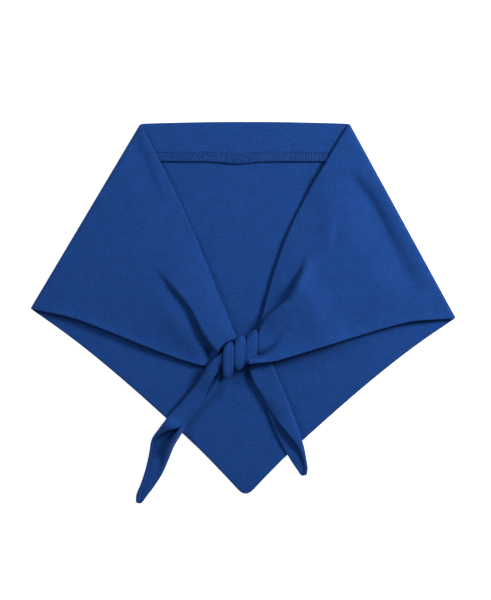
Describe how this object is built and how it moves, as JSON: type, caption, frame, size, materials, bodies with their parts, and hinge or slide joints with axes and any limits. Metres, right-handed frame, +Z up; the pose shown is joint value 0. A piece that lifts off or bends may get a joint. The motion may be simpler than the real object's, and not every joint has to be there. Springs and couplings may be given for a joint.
{
  "type": "neckerchief",
  "caption": "Knitted cloth neckerchief lying tied: flat back to a rounded point, folded sides, turned neck hem, two pleated fronts wound into a knot and folded ends.",
  "frame": {"origin": "on the surface that it lies on, under the middle of the whole outline", "axes": "+Y from the lower point to the neck edge, +X to the right seen from above the front, +Z up"},
  "size_m": [0.3388, 0.3044, 0.0167],
  "materials": {
    "cloth": "matt fine double knit, deep blue"
  },
  "bodies": {
    "root": {"back_panel": "cloth", "neck_hem": "cloth", "left_wing": "cloth", "right_wing": "cloth", "left_hem": "cloth", "right_hem": "cloth", "knot_wraps": "cloth", "left_tail": "cloth", "right_tail": "cloth"}
  },
  "joints": []
}
